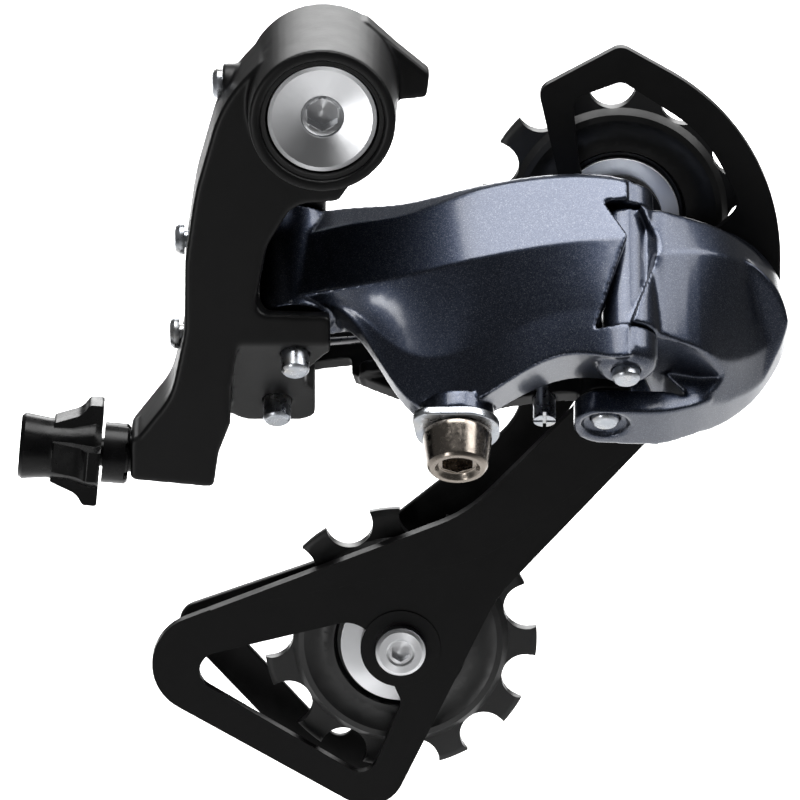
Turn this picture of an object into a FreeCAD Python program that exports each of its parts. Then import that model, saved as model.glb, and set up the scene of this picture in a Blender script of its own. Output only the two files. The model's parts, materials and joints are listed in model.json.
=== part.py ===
import FreeCAD, Part
import math
import os

# Frame: origin on the mounting bolt's axis at the hanger's outer face,
# +X forward, +Y towards the wheel, +Z up. Millimetres.
V = FreeCAD.Vector

SLANT = math.radians(42.0)      # the four link pins lean this far from level
LINK = 56.5                     # link length, pin to pin
LINK_TILT = math.radians(12.0)  # resting angle of the links
PIN_R = 2.35
RUN = 0.05                      # radial running clearance
GAP = 0.4                       # free gap between moving castings

PIN_A = (-4.7, 21.5)            # pin axes as (x, m) in the slanted link frame
PIN_B = (-7.9, 37.0)
LINK_DX = LINK * math.cos(LINK_TILT)
LINK_DM = -LINK * math.sin(LINK_TILT)
PIN_C = (PIN_A[0] + LINK_DX, PIN_A[1] + LINK_DM)
PIN_D = (PIN_B[0] + LINK_DX, PIN_B[1] + LINK_DM)

CLAMP = (22.5, 22.0)            # cable bolt axis
STUD = (37.2, 27.6)             # spring stud axis

BARREL_R0 = 12.9
BARREL_R1 = 12.2
BARREL_Y0 = -2.4
BARREL_Y1 = -29.0
ARM_Y = -19.5

CAGE_X = 63.2
CAGE_Z = -43.4
DRUM_R = 15.4
DRUM_Y = 3.0
HUB_R = 4.0
GUIDE = (50.0, -27.6)
TENSION = (13.0, -104.4)
PULLEY_Y = 11.0
PLATE_OUT = (5.0, 7.0)
PLATE_IN = (15.0, 16.6)
TEETH = 11
PITCH = 12.7
TIP_R = 23.5

ADJ_TILT = math.radians(5.0)
ADJ_X = -32.6
ADJ_Y = -15.5
ADJ_Z = -62.5

P = V(0, -math.cos(SLANT), -math.sin(SLANT))
M = V(0, math.sin(SLANT), -math.cos(SLANT))
Y = V(0, 1, 0)
X = V(1, 0, 0)


def lf(x, p, m):
    """A point given in the slanted link frame."""
    return V(x, 0, 0) + P * p + M * m


def xz(y):
    return lambda a, b: V(a, y, b)


def xm(p):
    return lambda a, b: lf(a, p, b)


def rounded(points, place):
    """A closed wire through corners (a, b, radius), each corner an arc."""
    n = len(points)
    marks = []
    for i in range(n):
        a0, b0, _ = points[i - 1]
        a1, b1, r = points[i]
        a2, b2, _ = points[(i + 1) % n]
        u = V(a0 - a1, b0 - b1, 0).normalize()
        w = V(a2 - a1, b2 - b1, 0).normalize()
        half = u.getAngle(w) / 2.0
        t = r / math.tan(half)
        c = V(a1, b1, 0)
        mid = c + (u + w).normalize() * (r / math.sin(half) - r)
        marks.append((c + u * t, mid, c + w * t, r))
    edges = []
    for i in range(n):
        s, mid, e, r = marks[i]
        nxt = marks[(i + 1) % n][0]
        if r > 0:
            edges.append(Part.Arc(place(s.x, s.y), place(mid.x, mid.y), place(e.x, e.y)).toShape())
        if e.distanceToPoint(nxt) > 1e-4:
            edges.append(Part.makeLine(place(e.x, e.y), place(nxt.x, nxt.y)))
    return Part.Wire(edges)


def slab(points, place, along):
    return Part.Face(rounded(points, place)).extrude(along)


def rod(r, start, along, length):
    return Part.makeCylinder(r, length, start, along)


def pin_rod(r, at, p0, p1):
    return rod(r, lf(at[0], p0, at[1]), P, p1 - p0)


def y_rod(r, x, z, y0, y1):
    return rod(r, V(x, y0, z), Y, y1 - y0)


def y_ring(r0, r1, x, z, y0, y1):
    return y_rod(r1, x, z, y0, y1).cut(y_rod(r0, x, z, y0 - 1, y1 + 1))


def loft(sections, ruled=False):
    wires = []
    for pts in sections:
        wires.append(Part.makePolygon(pts + [pts[0]]))
    return Part.makeLoft(wires, True, ruled)


def eased(rows, steps):
    """Catmull-Rom rows between the given ones, each row a list of numbers."""
    out = []
    last = len(rows) - 1
    for i in range(last):
        a, b, c, d = rows[max(i - 1, 0)], rows[i], rows[i + 1], rows[min(i + 2, last)]
        for k in range(steps):
            t = k / steps
            out.append([q + 0.5 * t * (r - p + t * (2 * p - 5 * q + 4 * r - w + t * (3 * (q - r) + w - p)))
                        for p, q, r, w in zip(a, b, c, d)])
    return out + [rows[last]]


def fuse(shapes):
    return shapes[0].multiFuse(shapes[1:]).removeSplitter()


def turned(profile, origin, along):
    """Revolve (axial, radius) points about a line."""
    side = V(1, 0, 0) if abs(along.x) < 0.9 else V(0, 0, 1)
    side = (side - along * side.dot(along)).normalize()
    pts = [origin + along * a + side * r for a, r in profile]
    face = Part.Face(Part.makePolygon(pts + [pts[0]]))
    return face.revolve(origin, along, 360)


def hex_socket(across, origin, along, depth):
    side = V(1, 0, 0) if abs(along.x) < 0.9 else V(0, 0, 1)
    side = (side - along * side.dot(along)).normalize()
    other = along.cross(side)
    r = across / math.sqrt(3.0)
    pts = []
    for k in range(6):
        a = math.radians(60 * k + 30)
        pts.append(origin + side * (r * math.cos(a)) + other * (r * math.sin(a)))
    return Part.Face(Part.makePolygon(pts + [pts[0]])).extrude(along * depth)


def coil(radius, wire, pitch, turns, origin, along):
    helix = Part.makeHelix(pitch, pitch * turns, radius)
    tangent = V(0, radius, pitch / (2 * math.pi)).normalize()
    ring = Part.Wire(Part.makeCircle(wire, V(radius, 0, 0), tangent))
    body = Part.Wire(helix).makePipeShell([ring], True, True)
    body.Placement = FreeCAD.Placement(origin, FreeCAD.Rotation(V(0, 0, 1), along))
    return body


# ---------------------------------------------------------------- upper pivot

def mounting_bolt():
    head = turned([(-27.4, 0), (-27.4, 9.1), (-23.2, 9.1), (-23.2, 0)], V(0, 0, 0), Y)
    dish = turned([(-27.5, 0), (-27.5, 8.5), (-27.4, 8.4), (-26.1, 3.7), (-26.1, 0)], V(0, 0, 0), Y)
    socket = hex_socket(5.0, V(0, -26.2, 0), Y, 4.6)
    dish = dish.fuse(turned([(-26.2, 0), (-26.2, 3.6), (-25.5, 3.5), (-24.9, 2.7), (-24.9, 0)],
                            V(0, 0, 0), Y))
    shank = y_rod(5.2, 0, 0, -23.3, -2.4)
    neck = y_rod(4.6, 0, 0, -2.5, 0.1)
    thread = turned([(0, 0), (0, 5.0), (8.2, 5.0), (9.0, 4.2), (9.0, 0)], V(0, 0, 0), Y)
    return fuse([head, shank, neck, thread]).cut(dish).cut(socket)


def stopper_plate():
    disc = y_rod(11.8, 0, 0, -2.2, 0)
    lobe = slab([(-9.5, -4, 2), (3, -8, 2), (1.5, -15.0, 2), (-9.5, -15.0, 2)], xz(-2.2), Y * 2.2)
    plate = disc.fuse(lobe)
    tab = slab([(-8, -9, 1), (0, -9, 1), (0, -14.2, 1), (-8, -14.2, 1)], xz(0), Y * 4.0)
    return fuse([plate, tab]).cut(y_rod(4.6, 0, 0, -3, 6))


def axle_snap_ring():
    ring = y_ring(5.2, 6.4, 0, 0, -3.9, -2.9)
    return ring.cut(Part.makeBox(2.2, 2, 8, V(-1.1, -4.4, -8)))


# ---------------------------------------------------------------- B-knuckle

def screw_spots():
    """Limit and stop screws: name, y, z, x of the head's outer face."""
    return [("high", -10.0, -26.2, -25.0), ("low", -10.0, -42.8, -26.0), ("stop", -7.0, 0.2, -18.6)]


def b_knuckle():
    barrel = Part.makeCone(BARREL_R0, BARREL_R1, BARREL_Y0 - BARREL_Y1, V(0, BARREL_Y0, 0), V(0, -1, 0))
    ear = slab([(6, 12.2, 1), (12.4, 6.4, 1.5), (17.9, 1.8, 0.8), (17.4, -2.4, 0.8), (13, -2.8, 1),
                (6, -8, 1)],
               xz(-7.0), Y * 4.4)
    arm_outline = [
        (-9.2, 8.6, 2), (-16.9, 0.6, 24), (-21.4, -15.5, 40), (-23.1, -27.0, 20), (-23.3, -40.0, 14),
        (-25.6, -51.0, 12), (-32.6, -60.0, 2), (-32.6, -65.8, 1), (-18.5, -67.2, 1), (-17.6, -61.0, 5),
        (-10.0, -41.6, 3), (1.2, -44.4, 1), (1.2, -37.0, 1), (-11.6, -36.6, 2.2), (-9.4, -24.8, 8),
        (-5.0, -17.4, 5),
        (2.6, -16.8, 1.5), (7.6, -9.5, 2)]
    arm = slab(arm_outline, xz(ARM_Y), Y * 15.5)
    lug_outline = [(-17.5, 17.0, 2), (-4.7, 16.6, 3), (1.0, 16.6, 2), (1.0, 20.5, 2.5), (-3.0, 27.0, 3),
                   (-3.0, 31.0, 2), (-1.4, 34.0, 2), (-1.4, 43.4, 3), (-14.5, 43.4, 3), (-18.5, 33.0, 4)]
    low_lug = slab(lug_outline, xm(36.7), P * 5.8)
    ear_a = slab([(-18.0, 15.0, 2), (0.4, 15.0, 4), (0.4, 27.0, 4), (-18.0, 27.0, 2)], xm(13.0), P * 3.2)
    ear_b = slab([(-18.0, 31.0, 2), (-2.4, 31.6, 4), (-2.4, 42.4, 4), (-18.0, 40.0, 2)], xm(17.5), P * 3.6)
    wall = slab([(-18.2, 15.0, 2), (-12.6, 15.0, 2), (-13.2, 43.4, 1.5), (-18.2, 40.0, 2)], xm(13.1),
                P * 29.3)
    front = Part.makeBox(80, 20, 120, V(-50, ARM_Y - 20, -90))
    boss = rod(3.4, V(-16.85, -7.0, 0.2), X, 6.85)
    slope = slab([(-15.6, 62, 0), (-15.6, 25.0, 7), (-12.0, 8.0, 7), (14, 4, 0), (14, 62, 0)], xm(42.5),
                 P * 24)
    cast = fuse([low_lug, ear_a, ear_b, wall]).cut(front)
    body = fuse([barrel, ear, arm, cast, boss]).cut(slope)
    foot = slab([(-32.6, -58.2, 1.5), (-32.6, -65.8, 1), (-18.4, -67.2, 1), (-17.8, -58.0, 2)], xz(ARM_Y),
                Y * 11.0)
    body = fuse([body, foot])

    tools = [
        y_rod(10.3, 0, 0, -30, -23.0),
        y_rod(6.3, 0, 0, -24, 0),
        y_rod(10.2, 0, 0, -19.0, -6.0).cut(y_rod(7.3, 0, 0, -20, -5)),
        y_rod(7.0, 0, 0, -4.2, 0),
        y_rod(8.6, 0, 0, -24.0, -22.0),
        pin_rod(6.1 + GAP, PIN_A, 16.2, 36.7),
        pin_rod(4.6 + GAP, PIN_B, 21.1, 36.7),
        pin_rod(PIN_R, PIN_A, 10, 50),
        pin_rod(PIN_R, PIN_B, 10, 50),
        link_sweep(),
    ]
    for _, y, z, x in screw_spots():
        tools.append(rod(1.5 + RUN, V(x, y, z), X, 14.0 if z < -20 else 6.2))
        tools.append(rod(3.0, V(x - 2, y, z), X, 3.75))
    out = V(-math.cos(ADJ_TILT), 0, math.sin(ADJ_TILT))
    start = V(ADJ_X, ADJ_Y, ADJ_Z) - out * 18.0
    tools.append(rod(2.6, start, out, 20.0))
    tools.append(rod(3.2, V(ADJ_X, ADJ_Y, ADJ_Z) - out * 8.0, out, 10.0))
    for t in tools:
        body = body.cut(t)
    solids = sorted(body.Solids, key=lambda s: -s.Volume)
    return solids[0]


def link_sweep():
    """Room the outer and inner links need beside the knuckle as they swing."""
    outer = slab([(PIN_A[0], 13.5, 0), (30, 5.0, 0), (40, 60, 0), (2.5, 60, 0), (-2.6, 31.5, 0),
                  (PIN_A[0], 28.6, 0)],
                 xm(16.2), P * 20.5)
    inner = slab([(PIN_B[0], 31.6, 0), (30, 22, 0), (30, 70, 0), (-4.0, 70, 0), (PIN_B[0], 42.4, 0)],
                 xm(21.1), P * 15.6)
    return outer.fuse(inner)


def bush(r0, r1, x, z, y0, y1, flange_r, flange_y):
    tube = y_rod(r1, x, z, y0, y1)
    rim = y_rod(flange_r, x, z, flange_y - 1.0, flange_y)
    return tube.fuse(rim).cut(y_rod(r0, x, z, y0 - 3, y1 + 3))


def b_bushing():
    return bush(5.2 + RUN, 6.3, 0, 0, -22.0, -6.0, 8.6, -22.0)


def b_seal():
    return y_ring(9.5, 10.3, 0, 0, -28.4, -24.6)


def b_spring():
    return coil(8.75, 0.75, 1.9, 5.5, V(0, -7.2, 0), V(0, -1, 0))


def link_pin(at, p0, p1):
    body = pin_rod(PIN_R, at, p0, p1)
    edge = [e for e in body.Edges if abs(e.CenterOfMass.distanceToPoint(lf(at[0], p1, at[1]))) < 0.6]
    return body.makeChamfer(0.5, edge)


def cross_screw(y, z, x, length):
    head = turned([(0, 0), (0, 1.5), (0.25, 2.2), (0.9, 2.6), (1.7, 2.6), (1.7, 0)], V(x, y, z), X)
    shank = rod(1.5, V(x + 1.6, y, z), X, length)
    slot = Part.makeBox(0.9, 0.7, 3.4, V(x - 0.1, y - 0.35, z - 1.7))
    slot2 = Part.makeBox(0.9, 3.4, 0.7, V(x - 0.1, y - 1.7, z - 0.35))
    return head.fuse(shank).cut(slot).cut(slot2)


# ---------------------------------------------------------------- barrel adjuster

def adj_axis():
    return V(-math.cos(ADJ_TILT), 0, math.sin(ADJ_TILT))


def adjuster_barrel():
    out = adj_axis()
    base = V(ADJ_X, ADJ_Y, ADJ_Z)
    stem = turned([(-6.0, 0), (-6.0, 3.0), (0.2, 3.0), (0.2, 4.6), (0.7, 5.1), (4.6, 5.1), (4.6, 2.4),
                   (9.0, 2.4),
                   (9.0, 0)], base, out)
    body = stem.cut(rod(1.3, base - out * 7, out, 18))
    notch = Part.makeBox(2.0, 1.6, 12, V(-1.0, -0.8, -6))
    for k in range(3):
        tool = notch.copy()
        tool.rotate(V(0, 0, 0), V(1, 0, 0), 60 * k)
        tool.translate(V(0.1, 0, 0))
        tool.rotate(V(0, 0, 0), V(0, 1, 0), math.degrees(ADJ_TILT))
        tool.translate(base)
        body = body.cut(tool.cut(rod(3.6, base - out * 4, out, 9)))
    return body


def adjuster_knob():
    out = adj_axis()
    base = V(ADJ_X, ADJ_Y, ADJ_Z)
    core = turned([(5.0, 0), (5.0, 5.9), (6.2, 6.3), (10.0, 5.3), (14.0, 5.1), (18.0, 5.6), (18.7, 5.1),
                   (18.7, 0)],
                  base, out)
    body = core
    for k in range(4):
        fin = slab([(5.0, 3.0, 0), (5.0, 8.9, 0.5), (7.4, 8.9, 0.9), (8.6, 7.0, 3.0), (13.2, 5.2, 0.5),
                    (13.2, 3.0, 0)],
                   lambda a, b: V(-a, -2.6, b), Y * 5.2)
        fin.rotate(V(0, 0, 0), V(1, 0, 0), 90 * k)
        fin.rotate(V(0, 0, 0), V(0, 1, 0), math.degrees(ADJ_TILT))
        fin.translate(base)
        body = body.fuse(fin)
    bore = rod(2.4 + RUN, base + out * 4, out, 5.4)
    cable = rod(1.3, base + out * 4, out, 20)
    cup = rod(2.6, base + out * 10.2, out, 12)
    return body.cut(bore).cut(cable).cut(cup).removeSplitter()


# ---------------------------------------------------------------- parallelogram

def link_stations():
    """Rows of x, top p, facet width, face offset, crease p, lower rim (p, m) and rear rim (p, m), m from the pins."""
    return [(-6.0, 16.6, 5.6, -5.2, 34.4, 36.2, -4.8, 36.2, 3.8), (3.0, 16.5, 5.0, -5.5, 34.3, 36.4, -2.6,
                                                                   36.4, 2.5),
            (8.0, 17.1, 4.2, -5.8, 33.9, 42.0, 0.4, 42.0, 4.0), (14.0, 17.6, 3.4, -6.1, 33.3, 51.0, 3.4,
                                                                 51.0, 7.4),
            (22.5, 16.9, 1.9, -6.4, 32.2, 54.0, 3.2, 54.0, 10.0), (30.5, 16.1, 1.2, -6.4, 31.2, 52.6,
                                                                   -0.6, 51.0, 10.0),
            (38.5, 15.8, 1.2, -6.2, 30.5, 50.2, -3.2, 48.4, 8.5), (46.0, 16.5, 1.2, -5.9, 30.3, 51.8,
                                                                   -5.2, 48.8, 8.0),
            (51.6, 18.2, 1.2, -5.6, 30.6, 52.4, -5.4, 51.0, 5.6)]


def pin_plane(x):
    return PIN_A[1] + (x - PIN_A[0]) * LINK_DM / LINK_DX


def link_section(x, pt, facet, face, pc, pl, ml, pb, mb):
    a = pin_plane(x)
    outer = a + face
    back = a + 3.5
    waist_p = pc + 0.6 * (pl - pc)
    waist_m = outer - 0.9 + 0.76 * (a + ml - outer + 0.9)
    return [lf(x, pt, outer + 0.2 + 0.42 * facet), lf(x, pt + facet, outer), lf(x, pc, outer - 0.9),
            lf(x, waist_p, waist_m), lf(x, pl, a + ml), lf(x, pb, a + mb),
            lf(x, pc + 2.0, back + 1.5), lf(x, pt, back)]


def cavity_section(x, pt, facet, face, pc, pl, ml, pb, mb):
    a = pin_plane(x)
    return [lf(x, pt + 3.6, a - 1.8), lf(x, pc, a - 2.9), lf(x, pc + 3.0, a - 1.8),
            lf(x, pb - 3.4, a + ml + 3.2),
            lf(x, pb - 3.4, a + mb + 18), lf(x, pt + 3.6, a + 24)]


def outer_link():
    stations = link_stations()
    shell = loft([link_section(*s) for s in stations])
    cavity = loft([cavity_section(*s) for s in stations[2:8]])
    body = shell.cut(cavity)
    barrel = pin_rod(6.1, PIN_A, 16.6, 36.2)
    upper_ear = pin_rod(4.9, PIN_C, 18.4, 22.5)
    lobe = turned([(46.5, 0), (46.5, 5.4), (50.4, 5.4), (51.8, 4.9), (52.6, 3.8), (52.6, 0)],
                  lf(PIN_C[0], 0, PIN_C[1]), P)
    boss = pin_rod(6.2, CLAMP, 52.4, 55.7)
    body = fuse([body, barrel, upper_ear, lobe, boss])
    trims = [
        slab([(47.0, 22.5, 0), (51.0, 29.7, 1.5), (45.4, 46.5, 0), (80, 46.5, 0), (80, 22.5, 0)],
             lambda a, b: lf(a, b, -20), M * 60),
        pin_rod(HUB_R + GAP, PIN_C, 22.5, 46.5),
        slab([(45.2, 9.75, 0), (60, 9.75, 0), (60, 40, 0), (45.2, 40, 0)], xm(22.5), P * 24.0),
        slab([(51.0, -20, 0), (80, -20, 0), (80, 60, 0), (51.0, 60, 0)], xm(5), P * 70.0).cut(
            pin_rod(5.4, PIN_C, 4, 80)),
        pin_rod(4.9 + 5, PIN_C, 5, 22.5).cut(pin_rod(4.9, PIN_C, 4, 23)).common(
            slab([(51.0, -20, 0), (80, -20, 0), (80, 60, 0), (51.0, 60, 0)], xm(5), P * 17.5)),
        slab([(-40, -20, 0), (PIN_A[0], -20, 0), (PIN_A[0], 60, 0), (-40, 60, 0)], xm(5), P * 70.0).cut(
            pin_rod(6.1, PIN_A, 4, 80)),
        pin_rod(PIN_R + RUN, PIN_A, 10, 60),
        pin_rod(PIN_R, PIN_C, 10, 60),
        pin_rod(2.5, CLAMP, 43.0, 60),
        pin_rod(8.0, PIN_A, 36.3, 60),
    ]
    for t in trims:
        body = body.cut(t)
    return sorted(body.Solids, key=lambda s: -s.Volume)[0]


def cable_clamp_plate():
    outline = [(14.6, 15.8, 3.0), (29.6, 15.4, 5.8), (29.6, 28.4, 5.8), (16.2, 28.4, 5.8)]
    plate = slab(outline, xm(55.7), P * 1.6)
    return plate.cut(pin_rod(2.6, CLAMP, 50, 60))


def cable_fixing_bolt():
    base = lf(22.5, 57.3, 22.0)
    head = turned([(0, 0), (0, 5.3), (0.5, 5.8), (1.4, 5.8), (6.4, 5.1), (7.0, 4.6), (7.0, 0)], base, P)
    shank = rod(2.5, lf(22.5, 45.0, 22.0), P, 12.4)
    dish = turned([(6.0, 0), (6.0, 3.2), (7.1, 3.9), (7.1, 0)], base, P)
    return head.fuse(shank).cut(dish).cut(hex_socket(5.0, base + P * 3.0, P, 4.2))


def inner_link():
    b_end = pin_rod(4.4, PIN_B, 25.0, 29.4)
    b_low = pin_rod(4.4, PIN_B, 34.6, 36.3)
    d_end = pin_rod(4.4, PIN_D, 33.2, 49.2)
    web = loft([
        [lf(PIN_B[0] + 3, 25.0, PIN_B[1] - 2.2), lf(PIN_B[0] + 3, 36.3, PIN_B[1] - 2.2),
         lf(PIN_B[0] + 3, 36.3, PIN_B[1] + 1.0), lf(PIN_B[0] + 3, 25.0, PIN_B[1] + 1.0)],
        [lf(2, 24.5, 33.4), lf(2, 38.0, 33.4), lf(2, 38.0, 36.6), lf(2, 24.5, 36.6)],
        [lf(12, 24.5, 31.2), lf(12, 43.6, 31.2), lf(12, 43.6, 34.4), lf(12, 24.5, 34.4)],
        [lf(32, 30.0, 27.0), lf(32, 47.6, 27.0), lf(32, 47.6, 30.2), lf(32, 30.0, 30.2)],
        [lf(PIN_D[0] - 2, 33.2, PIN_D[1] - 1.4), lf(PIN_D[0] - 2, 49.2, PIN_D[1] - 1.4),
         lf(PIN_D[0] - 2, 49.2, PIN_D[1] + 1.8), lf(PIN_D[0] - 2, 33.2, PIN_D[1] + 1.8)]])
    ledge = slab([(6, 30.5, 2), (30, 25.8, 2), (30, 31.4, 2), (6, 36.0, 2)], xm(38.2), P * 2.4)
    body = fuse([web, b_end, b_low, d_end, ledge])
    room = pin_rod(6.2, PIN_B, 29.4, 34.6)
    body = body.cut(pin_rod(PIN_R + RUN, PIN_B, 10, 60)).cut(pin_rod(PIN_R + RUN, PIN_D, 10, 60)).cut(room)
    body = body.cut(pin_rod(13.2, PIN_B, 36.3, 60)).cut(pin_rod(1.9, STUD, 44.0, 60))
    hole = slab([(8, 20, 3), (34, 20, 3), (34, 50, 3), (8, 50, 3)], lambda a, b: lf(a, b, 20), M * 20)
    window = slab([(14, 29.0, 2.2), (20, 30.0, 2.2), (28, 35.0, 2.2), (28, 41.5, 2.2), (14, 35.0, 2.2)],
                  lambda a, b: lf(a, b, 20), M * 20)
    return sorted(body.cut(window.common(hole)).Solids, key=lambda s: -s.Volume)[0]


def spring_stud():
    body = pin_rod(1.9, STUD, 44.0, 51.8)
    for x, m in ((2.4, 0.3), (0.3, 2.4)):
        corners = [(STUD[0] - x, STUD[1] - m, 0), (STUD[0] + x, STUD[1] - m, 0),
                   (STUD[0] + x, STUD[1] + m, 0),
                   (STUD[0] - x, STUD[1] + m, 0)]
        body = body.cut(slab(corners, xm(51.1), P * 1.0))
    return body


def return_spring():
    wire = 0.7
    body = coil(4.0, wire, 1.5, 2.5, lf(PIN_B[0], 30.3, PIN_B[1]), P)
    start = lf(PIN_B[0] + 0.5, 33.9, PIN_B[1] - 4.0)
    leg = rod(wire, start, (lf(14.0, 33.9, 29.8) - start).normalize(),
              (lf(14.0, 33.9, 29.8) - start).Length)
    return body.fuse(leg)


# ---------------------------------------------------------------- P-knuckle

def knuckle_sections():
    """Front profile at each x: (p, m) of shoulder, crease, face rim and lip, then p of the nose."""
    neck = [(22.9, 5.2), (33.8, 4.8), (46.1, 5.4), (46.1, 12.5), (44.0, 15.5), (36.0, 16.0), (22.9, 14.0)]
    rows = [[57.2, 22.9, 6.9, 31.5, 6.3, 46.1, 9.0, 46.1, 22.0, 46.1],
            [63.2, 22.9, 10.2, 29.7, 9.0, 46.5, 13.3, 50.6, 24.5, 50.6],
            [68.0, 22.9, 14.0, 28.7, 12.5, 44.5, 20.0, 47.8, 28.2, 47.8],
            [73.0, 22.9, 20.8, 27.3, 19.3, 39.5, 26.0, 43.2, 31.9, 43.2],
            [77.3, 27.4, 25.6, 29.4, 26.0, 34.0, 28.6, 36.2, 32.2, 36.2]]
    sections = [[lf(50.6, p, m) for p, m in neck]]
    for x, pt, mt, pc, mc, pr, mr, pl, ml, base in eased(rows, 3):
        dz = math.sqrt(DRUM_R ** 2 - (x - CAGE_X) ** 2)
        low = CAGE_Z - dz
        y = -(base + math.sin(SLANT) * low) / math.cos(SLANT)
        front = [lf(x, pt, mt), lf(x, pc, mc), lf(x, pr, mr), lf(x, pl, ml)]
        sections.append(front + [V(x, y, low), V(x, DRUM_Y, low), V(x, DRUM_Y, CAGE_Z + dz)])
    return sections


def p_knuckle():
    drum = y_rod(DRUM_R, CAGE_X, CAGE_Z, -9.0, DRUM_Y)
    nose = [(40, 54.0, 0), (57.0, 54.0, 12), (63.2, 51.2, 20), (68.0, 47.8, 25), (73.0, 43.2, 25),
            (77.6, 36.3, 12),
            (80.0, 30.0, 0), (95, 30.0, 0), (95, 90, 0), (40, 90, 0)]
    skin = loft(knuckle_sections(), True)
    below = Part.makeBox(60, 60, 40, V(40, -50, CAGE_Z - 40)).cut(y_rod(DRUM_R, CAGE_X, CAGE_Z, -60, 30))
    skin = skin.cut(below)
    hub = pin_rod(HUB_R, PIN_C, 22.9, 46.1)
    beside = slab([(52.9, 22.9, 0), (56.3, 29.7, 0), (54.0, 38.0, 0), (51.4, 46.1, 0), (70, 46.1, 0),
                   (70, 22.9, 0)],
                  lambda a, b: lf(a, b, -40), M * 80)
    cheek = pin_rod(5.8, PIN_C, 22.9, 46.1).common(beside)
    lug = slab([(42.0, 19.8, 5.2), (57.0, 21.0, 6), (66.0, 24.0, 0), (66.5, 33.4, 0), (57.0, 32.2, 20),
                (42.0, 31.0, 5.4)], xm(49.6), P * 4.4)
    upper = slab([(42.6, 20.4, 4.6), (50.0, 8.0, 3), (60.0, 12.0, 3), (60.0, 29.0, 3), (42.6, 30.0, 4.6)],
                 xm(28.4), P * 4.3)
    body = fuse([drum, skin, hub, cheek, lug, upper])
    swing = slab([(PIN_C[0], PIN_C[1], 0), (59.0, 4.45, 0), (59.0, -10, 0), (30, -10, 0), (30, 9.75, 0)],
                 xm(20), P * 28.0).common(pin_rod(7.2, PIN_C, 20, 48)).cut(pin_rod(HUB_R, PIN_C, 10,
                                                                                   60)).cut(beside)
    crescent = slab([(30, -20, 0), (56.6, -20, 0), (56.8, 9.0, 2.0), (62.0, 12.2, 8), (66.6, 17.0, 4),
                     (67.8, 22.6, 1.6),
                     (63.0, 23.0, 5), (57.0, 21.0, 8), (30, 19.8, 0)], xm(46.1), P * 30.0)
    tools = [
        slab(nose, lambda a, b: lf(a, b, -40), M * 120),
        swing,
        crescent,
        pin_rod(4.9 + GAP, PIN_C, 10.0, 22.9),
        pin_rod(5.4 + GAP, PIN_C, 46.1, 60),
        pin_rod(4.4 + GAP, PIN_D, 32.8, 49.6),
        slab([(PIN_D[0], 20.5, 0), (PIN_D[0], 30.5, 0), (20, 45, 0), (20, 5, 0)], xm(32.8), P * 16.8),
        pin_rod(PIN_R + RUN, PIN_C, 5, 70),
        pin_rod(PIN_R, PIN_D, 20, 60),
        pin_rod(3.9, PIN_D, 52.8, 60),
        y_rod(5.4, CAGE_X, CAGE_Z, -14.0, 5),
        y_ring(7.4, 10.4, CAGE_X, CAGE_Z, -6.4, 5),
    ]
    for t in tools:
        body = body.cut(t)
    return sorted(body.Solids, key=lambda s: -s.Volume)[0]


def p_bushing():
    return y_ring(4.2 + RUN, 5.4, CAGE_X, CAGE_Z, -12.0, 2.6)


def p_spring():
    return coil(8.8, 0.9, 2.1, 3.3, V(CAGE_X, -5.4, CAGE_Z), Y)


def p_seal():
    return y_ring(13.0, 15.0, CAGE_X, CAGE_Z, 3.0, 4.4)


# ---------------------------------------------------------------- cage

def p_axle():
    stem = turned([(-13.2, 0), (-13.2, 4.2), (4.6, 4.2), (4.6, 7.5), (5.0, 7.5), (5.0, 5.6), (7.2, 5.6),
                   (8.0, 4.8),
                   (8.0, 0)], V(CAGE_X, 0, CAGE_Z), Y)
    return stem.cut(hex_socket(5.0, V(CAGE_X, 4.5, CAGE_Z), Y, 4.0))


def plate_stop_pin():
    return y_rod(1.8, 57.7, -60.3, -3.0, 4.5).fuse(y_rod(2.5, 57.7, -60.3, 3.4, 4.5))


def outer_plate():
    y0, y1 = PLATE_OUT
    outline = [
        (36.2, -4.4, 2.4), (50.2, 3.3, 2.6), (77.5, -12.4, 38.0), (77.5, -62.0, 12.0), (61.8, -59.6, 8.0),
        (29.6, -95.0, 24.0), (10.1, -135.8, 6.5), (-41.1, -105.9, 8.9), (24.4, -79.9, 24.0),
        (47.0, -56.4, 8.0),
        (43.0, -34.0, 14.0)]
    top_window = [(42.1, -6.1, 2.2), (50.4, -3.0, 2.2), (64.9, -12.6, 24.0), (70.8, -25.4, 3.2),
                  (65.8, -29.8, 2.2),
                  (46.4, -29.6, 3.0), (43.2, -17.6, 5.0)]
    low_window = [(-26.8, -107.2, 3.4), (6.5, -98.9, 5.0), (13.2, -114.2, 2.4), (7.5, -128.4, 3.0)]
    body = slab(outline, xz(y0), Y * (y1 - y0))
    boss_g = y_rod(7.4, GUIDE[0], GUIDE[1], y0, y1)
    boss_t = y_rod(6.9, TENSION[0], TENSION[1], y0, y1)
    body = body.cut(slab(top_window, xz(y0 - 1), Y * 4).cut(boss_g))
    body = body.cut(slab(low_window, xz(y0 - 1), Y * 4).cut(boss_t))
    band = slab([(-40.0, -101.0, 0), (-13.0, -96.2, 20), (28.0, -88.0, 30), (44.0, -75.0, 20),
                 (60.0, -63.0, 0),
                 (50.0, -54.0, 0), (-40.0, -60.0, 0)], xz(y0 - 0.5), Y * 0.5)
    raised = slab(outline, xz(y0 - 0.5), Y * 0.5).common(band).cut(slab(low_window, xz(y0 - 1), Y * 4))
    body = fuse([body, raised, y_rod(6.9, TENSION[0], TENSION[1], y0 - 0.3, y1)])
    for x, z in (GUIDE, TENSION):
        body = body.cut(y_rod(2.5, x, z, 0, 12)).cut(y_rod(4.6, x, z, 0, y0))
    body = body.cut(y_rod(5.6, CAGE_X, CAGE_Z, 0, 12))
    return body


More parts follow.
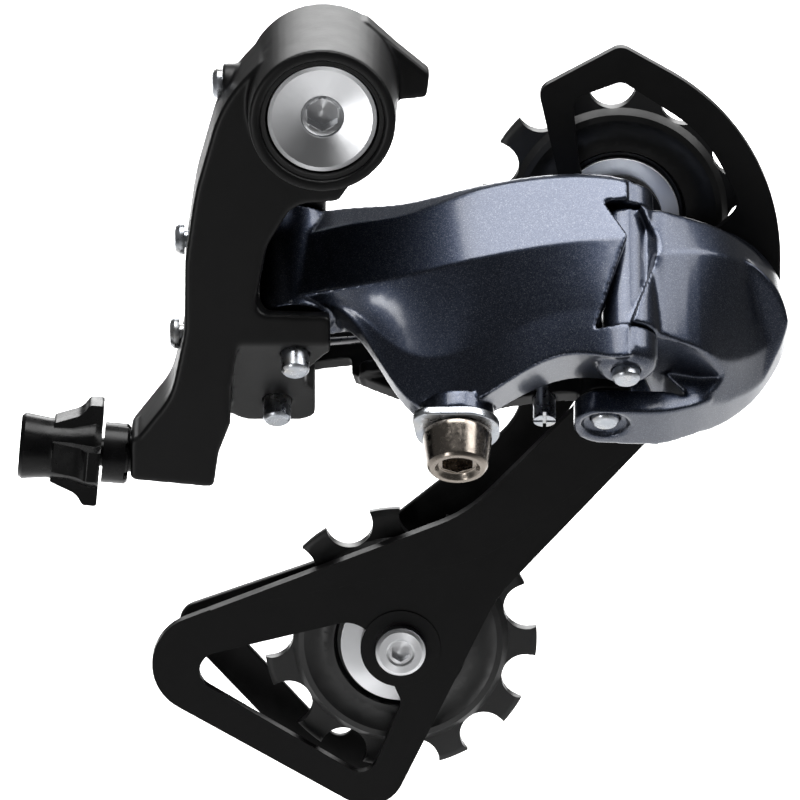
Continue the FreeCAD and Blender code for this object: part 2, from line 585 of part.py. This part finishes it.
def inner_plate():
    y0, y1 = PLATE_IN
    outline = [
        (41.5, -18.6, 9.0), (58.8, -19.4, 8.6), (59.0, -37.5, 8.0), (41.0, -66.0, 12.0), (27.0, -83.0, 8.0),
        (24.4, -111.0, 9.0), (8.5, -132.0, 5.0), (-1.6, -130.6, 4.0), (-27.8, -101.6, 3.6),
        (4.4, -90.0, 8.0),
        (33.0, -66.6, 12.0)]
    window = [(-15.8, -104.6, 2.0), (-1.0, -98.8, 3.0), (12.0, -112.0, 3.0), (2.8, -125.6, 2.6)]
    body = slab(outline, xz(y0), Y * (y1 - y0))
    boss = y_rod(6.9, TENSION[0], TENSION[1], y0, y1)
    body = fuse([body.cut(slab(window, xz(y0 - 1), Y * 4).cut(boss)), boss])
    for x, z in (GUIDE, TENSION):
        body = body.cut(y_rod(2.5, x, z, 12, 20))
    return body


def pulley_bolt(at):
    x, z = at
    base = V(x, 2.6, z)
    head = turned([(0, 0), (0, 3.7), (0.4, 4.3), (2.4, 4.3), (2.4, 2.5), (13.9, 2.5), (13.9, 0)], base, Y)
    dish = turned([(-0.1, 0), (-0.1, 2.6), (0.3, 2.1), (0.3, 0)], base, Y)
    return head.cut(dish).cut(hex_socket(3.0, base, Y, 1.9))


def pulley_bush(at):
    return y_ring(2.5, 3.9, at[0], at[1], 8.0, 14.0)


def dust_caps(at):
    x, z = at
    outer = turned([(7.0, 2.5), (7.0, 6.0), (7.35, 10.3), (8.6, 10.3), (8.6, 9.7), (8.0, 9.4), (8.0, 2.5)],
                   V(x, 0, z), Y)
    inner = turned([(15.0, 2.5), (15.0, 6.0), (14.65, 10.3), (13.4, 10.3), (13.4, 9.7), (14.0, 9.4),
                    (14.0, 2.5)],
                   V(x, 0, z), Y)
    return Part.makeCompound([outer, inner])


def pulley(at, phase):
    x, z = at
    c = V(x, PULLEY_Y, z)
    pitch_r = PITCH / 2.0 / math.sin(math.pi / TEETH)
    profile = [(-2.6, 3.9 + RUN), (-2.6, 9.2), (-1.9, 9.6), (-1.9, 10.9), (-3.2, 11.5), (-2.9, 12.2),
               (-2.1, 13.6),
               (-2.0, 15.0), (-2.5, 16.6), (-2.3, 17.6), (-1.2, 18.6), (-1.1, 22.4), (-0.6, TIP_R)]
    full = profile + [(-a, r) for a, r in reversed(profile)]
    body = turned(full, c, Y)
    for k in range(TEETH):
        a = phase + 2 * math.pi * k / TEETH
        seat = y_rod(4.05, x + pitch_r * math.cos(a), z + pitch_r * math.sin(a), PULLEY_Y - 4, PULLEY_Y + 4)
        body = body.cut(seat)
    return body


def build():
    (hy, hz, hx), (ly, lz, lx), (sy, sz, sx) = [s[1:] for s in screw_spots()]
    return {
        "mounting_bolt": mounting_bolt(),
        "stopper_plate": stopper_plate(),
        "axle_snap_ring": axle_snap_ring(),
        "b_knuckle": b_knuckle(),
        "b_bushing": b_bushing(),
        "b_seal": b_seal(),
        "b_spring": b_spring(),
        "link_pin_a": link_pin(PIN_A, 12.6, 46.0),
        "link_pin_b": link_pin(PIN_B, 17.2, 46.4),
        "high_limit_screw": cross_screw(hy, hz, hx, 12.0),
        "low_limit_screw": cross_screw(ly, lz, lx, 12.0),
        "stop_screw": cross_screw(sy, sz, sx, 4.2),
        "adjuster_barrel": adjuster_barrel(),
        "adjuster_knob": adjuster_knob(),
        "outer_link": outer_link(),
        "cable_clamp_plate": cable_clamp_plate(),
        "cable_fixing_bolt": cable_fixing_bolt(),
        "inner_link": inner_link(),
        "return_spring": return_spring(),
        "spring_stud": spring_stud(),
        "p_knuckle": p_knuckle(),
        "link_pin_c": link_pin(PIN_C, 18.8, 54.4),
        "link_pin_d": link_pin(PIN_D, 28.6, 53.7),
        "p_bushing": p_bushing(),
        "p_spring": p_spring(),
        "p_seal": p_seal(),
        "p_axle": p_axle(),
        "plate_stop_pin": plate_stop_pin(),
        "outer_plate": outer_plate(),
        "inner_plate": inner_plate(),
        "guide_pulley_bolt": pulley_bolt(GUIDE),
        "tension_pulley_bolt": pulley_bolt(TENSION),
        "guide_bush": pulley_bush(GUIDE),
        "tension_bush": pulley_bush(TENSION),
        "guide_dust_caps": dust_caps(GUIDE),
        "tension_dust_caps": dust_caps(TENSION),
        "guide_pulley": pulley(GUIDE, math.radians(27.6)),
        "tension_pulley": pulley(TENSION, math.radians(14.9)),
    }


os.makedirs("parts", exist_ok=True)
for name, shape in build().items():
    shape.exportStep("parts/" + name + ".step")
    print(name, "valid", shape.isValid(), "solids", len(shape.Solids), "volume", round(shape.Volume, 1))
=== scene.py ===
import json
import math
import bmesh
import bpy
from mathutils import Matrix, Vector


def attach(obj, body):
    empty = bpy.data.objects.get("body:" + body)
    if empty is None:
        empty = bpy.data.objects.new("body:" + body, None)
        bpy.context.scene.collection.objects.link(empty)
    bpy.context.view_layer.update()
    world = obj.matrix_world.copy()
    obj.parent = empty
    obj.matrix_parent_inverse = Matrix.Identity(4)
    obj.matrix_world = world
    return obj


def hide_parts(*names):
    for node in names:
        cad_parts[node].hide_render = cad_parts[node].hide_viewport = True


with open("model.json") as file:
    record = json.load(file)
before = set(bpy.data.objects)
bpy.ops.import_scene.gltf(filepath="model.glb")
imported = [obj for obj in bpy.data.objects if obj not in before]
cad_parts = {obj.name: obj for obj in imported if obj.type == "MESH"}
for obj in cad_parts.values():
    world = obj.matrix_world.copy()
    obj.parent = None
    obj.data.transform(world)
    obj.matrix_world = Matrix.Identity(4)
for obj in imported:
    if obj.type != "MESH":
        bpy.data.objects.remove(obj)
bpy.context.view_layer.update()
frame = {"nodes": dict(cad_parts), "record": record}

NODES = frame["nodes"]
MM = 0.001

# Camera and set, in metres and watts.
ELEVATION = math.radians(18.0)
DISTANCE = 1.8
TARGET = Vector((12.9, -5.0, -56.3)) * MM
LENS = 477.9
FLOOR = -0.30
FLOOR_HALF = 6.0
WORLD_LIGHT = 0.10
LIT_POINT = (0.02, 0, -0.05)

# Mesh finish, in millimetres and degrees. A casting has a voxel size and a number of smoothing steps.
CAST = {"b_knuckle": (0.32, 12), "outer_link": (0.3, 9), "p_knuckle": (0.32, 18), "inner_link": (0.3, 4)}
CAST_KEEP = 0.5
FINE_BEVEL = 0.12
BEVEL = {"outer_plate": 0.35, "inner_plate": 0.3, "cable_clamp_plate": 0.3, "adjuster_knob": 0.35}
BEVEL_ANGLE = 28
FLAT_ANGLE = 1.0
WELD_GAP = 0.002

# The M10x1 thread of the mounting bolt, in millimetres.
BOLT_BEVEL = 0.15
THREAD_TOP = 5.0
THREAD_DEPTH = 0.55
THREAD_PITCH = 1.0
THREAD_START = -0.06
THREAD_END = 9.0
RUN_IN_R = 4.5
RUN_IN_SLOPE = 0.7
END_CHAMFER_Y = 8.2
SHANK_CUT_Y = -0.05
AROUND = 72
ROWS = 91


# ------------------------------------------------------------ materials

class Mat:
    """A principled material and short helpers for its nodes."""

    def __init__(self, name, colour, metallic, rough):
        self.m = bpy.data.materials.new(name)
        self.m.use_nodes = True
        self.t = self.m.node_tree
        self.t.nodes.clear()
        self.out = self.t.nodes.new("ShaderNodeOutputMaterial")
        self.b = self.t.nodes.new("ShaderNodeBsdfPrincipled")
        self.t.links.new(self.b.outputs[0], self.out.inputs[0])
        self.b.inputs["Base Color"].default_value = (*colour, 1)
        self.b.inputs["Metallic"].default_value = metallic
        self.b.inputs["Roughness"].default_value = rough
        self.coord = self.t.nodes.new("ShaderNodeTexCoord")

    def set(self, name, value):
        self.b.inputs[name].default_value = value
        return self

    def noise(self, scale, detail=3.0, rough=0.55):
        n = self.t.nodes.new("ShaderNodeTexNoise")
        n.inputs["Scale"].default_value = scale
        n.inputs["Detail"].default_value = detail
        n.inputs["Roughness"].default_value = rough
        self.t.links.new(self.coord.outputs["Object"], n.inputs["Vector"])
        return n.outputs["Fac"]

    def cells(self, scale):
        n = self.t.nodes.new("ShaderNodeTexVoronoi")
        n.inputs["Scale"].default_value = scale
        self.t.links.new(self.coord.outputs["Object"], n.inputs["Vector"])
        return n.outputs["Color"]

    def ramp(self, src, stops):
        r = self.t.nodes.new("ShaderNodeValToRGB")
        els = r.color_ramp.elements
        while len(els) < len(stops):
            els.new(0.5)
        for e, (pos, col) in zip(els, stops):
            e.position = pos
            e.color = (*col, 1) if len(col) == 3 else col
        self.t.links.new(src, r.inputs["Fac"])
        return r.outputs["Color"]

    def grey(self, src):
        g = self.t.nodes.new("ShaderNodeSeparateColor")
        self.t.links.new(src, g.inputs[0])
        return g.outputs[0]

    def vary(self, socket, src, low, high, a=0.35, b=0.65):
        r = self.t.nodes.new("ShaderNodeMapRange")
        r.inputs["From Min"].default_value = a
        r.inputs["From Max"].default_value = b
        r.inputs["To Min"].default_value = low
        r.inputs["To Max"].default_value = high
        self.t.links.new(src, r.inputs["Value"])
        self.t.links.new(r.outputs["Result"], self.b.inputs[socket])
        return self

    def colour(self, src):
        self.t.links.new(src, self.b.inputs["Base Color"])
        return self

    def bump(self, src, strength, distance):
        n = self.t.nodes.new("ShaderNodeBump")
        n.inputs["Strength"].default_value = strength
        n.inputs["Distance"].default_value = distance
        self.t.links.new(src, n.inputs["Height"])
        self.t.links.new(n.outputs["Normal"], self.b.inputs["Normal"])
        return self


def cast_black():
    m = Mat("cast_black", (0.002, 0.002, 0.0022), 0.0, 0.4)
    m.colour(m.ramp(m.noise(60, 3), [(0.3, (0.0015, 0.0015, 0.0017)), (0.7, (0.0026, 0.0026, 0.0029))]))
    m.vary("Roughness", m.noise(240, 5), 0.385, 0.42)
    m.set("Specular IOR Level", 0.28)
    m.bump(m.noise(1400, 4), 0.2, 0.00005)
    return m.m


def paint_anthracite():
    m = Mat("cast_anthracite", (0.038, 0.047, 0.072), 1.0, 0.34)
    flake = m.grey(m.cells(9000))
    m.colour(m.ramp(flake, [(0.0, (0.020, 0.027, 0.048)), (0.62, (0.034, 0.043, 0.068)),
                            (0.93, (0.066, 0.076, 0.105)), (1.0, (0.12, 0.13, 0.155))]))
    m.vary("Roughness", flake, 0.30, 0.40, 0.0, 1.0)
    m.set("Coat Weight", 1.0).set("Coat Roughness", 0.14).set("Coat IOR", 1.45)
    m.bump(m.noise(900, 2), 0.03, 0.00002)
    return m.m


def plate_black():
    m = Mat("plate_black", (0.0018, 0.0018, 0.002), 0.0, 0.4)
    m.colour(m.ramp(m.noise(45, 3), [(0.3, (0.0014, 0.0014, 0.0016)), (0.7, (0.0024, 0.0024, 0.0027))]))
    m.vary("Roughness", m.noise(300, 5), 0.36, 0.46)
    m.set("Specular IOR Level", 0.2)
    m.bump(m.noise(2200, 3), 0.12, 0.00004)
    return m.m


def steel(name, colour, rough):
    m = Mat(name, colour, 1.0, rough)
    dark = tuple(c * 0.86 for c in colour)
    m.colour(m.ramp(m.noise(120, 3), [(0.3, dark), (0.7, colour)]))
    m.vary("Roughness", m.noise(900, 5, 0.6), rough - 0.08, rough + 0.08)
    m.bump(m.noise(900, 3, 0.6), 0.06, 0.00004)
    return m.m


def turned(name, colour, rough):
    """Lathe-turned steel: fine rings around the Y axis stretch the highlights."""
    m = Mat(name, colour, 1.0, rough)
    dark = tuple(c * 0.9 for c in colour)
    m.colour(m.ramp(m.noise(60, 3), [(0.3, dark), (0.7, colour)]))
    m.vary("Roughness", m.noise(500, 4), rough - 0.03, rough + 0.03)
    t = m.t.nodes.new("ShaderNodeTangent")
    t.direction_type = "RADIAL"
    t.axis = "Y"
    m.t.links.new(t.outputs["Tangent"], m.b.inputs["Tangent"])
    m.set("Anisotropic", 0.85)
    return m.m


def zinc():
    m = Mat("zinc", (0.48, 0.50, 0.54), 1.0, 0.3)
    m.colour(m.ramp(m.noise(260, 4), [(0.25, (0.40, 0.43, 0.48)), (0.5, (0.48, 0.50, 0.53)),
                                      (0.75, (0.54, 0.52, 0.49))]))
    m.vary("Roughness", m.noise(800, 4), 0.22, 0.4)
    return m.m


def bronze():
    m = Mat("bush_bronze", (0.42, 0.29, 0.14), 1.0, 0.4)
    m.colour(m.ramp(m.noise(500, 4), [(0.3, (0.34, 0.22, 0.10)), (0.7, (0.45, 0.32, 0.16))]))
    m.vary("Roughness", m.noise(700, 4), 0.35, 0.5)
    return m.m


def moulded(name, colour, rough, spec=0.5):
    m = Mat(name, colour, 0.0, rough)
    light = tuple(c * 1.35 for c in colour)
    m.colour(m.ramp(m.noise(70, 3), [(0.3, colour), (0.7, light)]))
    m.vary("Roughness", m.noise(350, 4), rough - 0.05, rough + 0.06)
    m.set("Specular IOR Level", spec)
    m.bump(m.noise(900, 3), 0.1, 0.00004)
    return m.m


def make_materials():
    return {
        "cast_black": cast_black(),
        "cast_anthracite": paint_anthracite(),
        "plate_black": plate_black(),
        "steel_satin": turned("steel_satin", (0.86, 0.87, 0.89), 0.36),
        "steel_warm": steel("steel_warm", (0.30, 0.265, 0.23), 0.22),
        "zinc": zinc(),
        "spring_steel": steel("spring_steel", (0.30, 0.30, 0.31), 0.32),
        "bush_bronze": bronze(),
        "seal_rubber": moulded("seal_rubber", (0.006, 0.006, 0.006), 0.7),
        "knob_plastic": moulded("knob_plastic", (0.0016, 0.0016, 0.0018), 0.26, 0.22),
        "pulley_plastic": moulded("pulley_plastic", (0.0035, 0.0035, 0.0038), 0.36),
    }


MATS = make_materials()
SLOT = {p["node"]: p["material_slot"] for p in frame["record"]["subparts"]}


def paint(obj, slot):
    obj.data.materials.clear()
    obj.data.materials.append(MATS[slot])


# ------------------------------------------------------------ mesh helpers

def baked(obj, name):
    """The mesh of obj with its modifiers applied."""
    bpy.context.view_layer.update()
    deps = bpy.context.evaluated_depsgraph_get()
    mesh = bpy.data.meshes.new_from_object(obj.evaluated_get(deps), depsgraph=deps)
    mesh.name = name
    return mesh


def add_piece(name, mesh, body, node):
    """A new piece on a body, in place of a CAD node and with that node's material."""
    obj = bpy.data.objects.new(name, mesh)
    bpy.context.scene.collection.objects.link(obj)
    paint(obj, SLOT[node])
    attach(obj, body)
    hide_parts(node)


def softened(node, voxel, smooth):
    """A casting in place of the CAD node that its body is named after: remeshed evenly, edges melted."""
    src = NODES[node]
    obj = bpy.data.objects.new("tmp_" + node, src.data.copy())
    bpy.context.scene.collection.objects.link(obj)
    r = obj.modifiers.new("r", "REMESH")
    r.mode = "VOXEL"
    r.voxel_size = voxel * MM
    s = obj.modifiers.new("s", "SMOOTH")
    s.factor = 0.5
    s.iterations = smooth
    d = obj.modifiers.new("d", "DECIMATE")
    d.ratio = CAST_KEEP
    mesh = baked(obj, node + "_cast")
    bpy.data.objects.remove(obj)
    for p in mesh.polygons:
        p.use_smooth = True
    add_piece(node + "_cast", mesh, node, node)


def broken_edges(obj, bevel):
    """Modifiers that join the flat facets of an object and bevel its hard edges."""
    w = obj.modifiers.new("weld", "WELD")
    w.merge_threshold = WELD_GAP * MM
    d = obj.modifiers.new("flat", "DECIMATE")
    d.decimate_type = "DISSOLVE"
    d.angle_limit = math.radians(FLAT_ANGLE)
    b = obj.modifiers.new("bevel", "BEVEL")
    b.width = bevel * MM
    b.segments = 2
    b.limit_method = "ANGLE"
    b.angle_limit = math.radians(BEVEL_ANGLE)
    n = obj.modifiers.new("wn", "WEIGHTED_NORMAL")
    n.keep_sharp = True


def machined(node, bevel):
    """A CAD node with its hard edges broken."""
    obj = NODES[node]
    broken_edges(obj, bevel)
    for p in obj.data.polygons:
        p.use_smooth = True
    paint(obj, SLOT[node])


def thread_radius(y, turn):
    """Radius of the threaded end at height y, at a part of a turn round the axis."""
    phase = (y / THREAD_PITCH + turn) % 1.0
    flank = min(max(abs(2 * phase - 1) * 1.3 - 0.12, 0.0), 1.0)
    r = THREAD_TOP - THREAD_DEPTH * (1 - flank)
    return min(r, RUN_IN_R + RUN_IN_SLOPE * max(y, 0.0), THREAD_TOP - max(y - END_CHAMFER_Y, 0.0))


def threaded_bolt():
    """The mounting bolt, its plain end replaced by a cut M10x1 thread."""
    src = NODES["mounting_bolt"]
    obj = bpy.data.objects.new("tmp_bolt", src.data.copy())
    bpy.context.scene.collection.objects.link(obj)
    broken_edges(obj, BOLT_BEVEL)
    mesh = baked(obj, "mounting_bolt_cut")
    bpy.data.objects.remove(obj)
    bm = bmesh.new()
    bm.from_mesh(mesh)
    bmesh.ops.bisect_plane(bm, geom=bm.verts[:] + bm.edges[:] + bm.faces[:], plane_co=(0, SHANK_CUT_Y * MM, 0),
                           plane_no=(0, 1, 0), clear_outer=True)
    rings = []
    for j in range(ROWS):
        y = THREAD_START + (THREAD_END - THREAD_START) * j / (ROWS - 1)
        ring = []
        for i in range(AROUND):
            a = 2 * math.pi * i / AROUND
            r = thread_radius(y, i / AROUND)
            ring.append(bm.verts.new((r * MM * math.cos(a), y * MM, r * MM * math.sin(a))))
        rings.append(ring)
    for j in range(ROWS - 1):
        for i in range(AROUND):
            k = (i + 1) % AROUND
            bm.faces.new((rings[j][i], rings[j][k], rings[j + 1][k], rings[j + 1][i])).smooth = True
    bm.faces.new(rings[0])
    bm.faces.new(list(reversed(rings[-1])))
    bmesh.ops.recalc_face_normals(bm, faces=bm.faces[:])
    bm.to_mesh(mesh)
    bm.free()
    add_piece("mounting_bolt_cut", mesh, "axle", "mounting_bolt")


for node in sorted(NODES):
    if node in CAST:
        softened(node, *CAST[node])
    elif node == "mounting_bolt":
        threaded_bolt()
    else:
        machined(node, BEVEL.get(node, FINE_BEVEL))


# ------------------------------------------------------------ set

def area(name, size, power, at, towards, spread):
    """A soft box: sizes and places in metres, power in watts, spread in degrees."""
    light = bpy.data.lights.new(name, "AREA")
    light.shape = "RECTANGLE"
    light.size = size[0]
    light.size_y = size[1]
    light.energy = power
    light.spread = math.radians(spread)
    obj = bpy.data.objects.new(name, light)
    obj.location = at
    obj.rotation_euler = (Vector(towards) - Vector(at)).to_track_quat("-Z", "Y").to_euler()
    bpy.context.scene.collection.objects.link(obj)


def make_floor():
    mesh = bpy.data.meshes.new("floor")
    bm = bmesh.new()
    bmesh.ops.create_grid(bm, x_segments=1, y_segments=1, size=FLOOR_HALF)
    bm.to_mesh(mesh)
    floor = bpy.data.objects.new("floor", mesh)
    floor.location = (0, 0, FLOOR)
    m = Mat("floor_pale", (0.93, 0.93, 0.93), 0.0, 0.6)
    m.colour(m.ramp(m.noise(3, 2), [(0.3, (0.93, 0.93, 0.93)), (0.7, (0.95, 0.95, 0.95))]))
    floor.data.materials.append(m.m)
    bpy.context.scene.collection.objects.link(floor)


def make_lights():
    world = bpy.data.worlds.new("studio")
    world.use_nodes = True
    world.node_tree.nodes["Background"].inputs[0].default_value = (1, 1, 1, 1)
    world.node_tree.nodes["Background"].inputs[1].default_value = WORLD_LIGHT
    bpy.context.scene.world = world
    area("top", (0.42, 0.60), 2.3, (-0.02, 0.0, 0.62), LIT_POINT, 110)
    area("side", (0.6, 0.6), 1.4, (0.62, -0.05, 0.62), (0.06, 0, -0.05), 90)
    area("back", (1.4, 0.7), 2.6, (0.1, 1.5, 0.55), LIT_POINT, 70)
    area("front", (0.10, 0.4), 0.16, (-0.42, -0.75, -0.2), LIT_POINT, 60)
    area("floor_light", (1.0, 0.8), 13.0, (0, 1.0, 0.9), (0, 0.98, FLOOR), 70)


def make_camera():
    cam = bpy.data.cameras.new("camera")
    cam.sensor_width = 36.0
    cam.lens = LENS
    cam.clip_start = 0.05
    cam.clip_end = 50.0
    obj = bpy.data.objects.new("camera", cam)
    view = Vector((0, -math.cos(ELEVATION), math.sin(ELEVATION)))
    obj.location = TARGET + view * DISTANCE
    obj.rotation_euler = (math.pi / 2 - ELEVATION, 0, 0)
    bpy.context.scene.collection.objects.link(obj)
    bpy.context.scene.camera = obj


make_floor()
make_lights()
make_camera()
bpy.context.scene.view_settings.view_transform = "Standard"
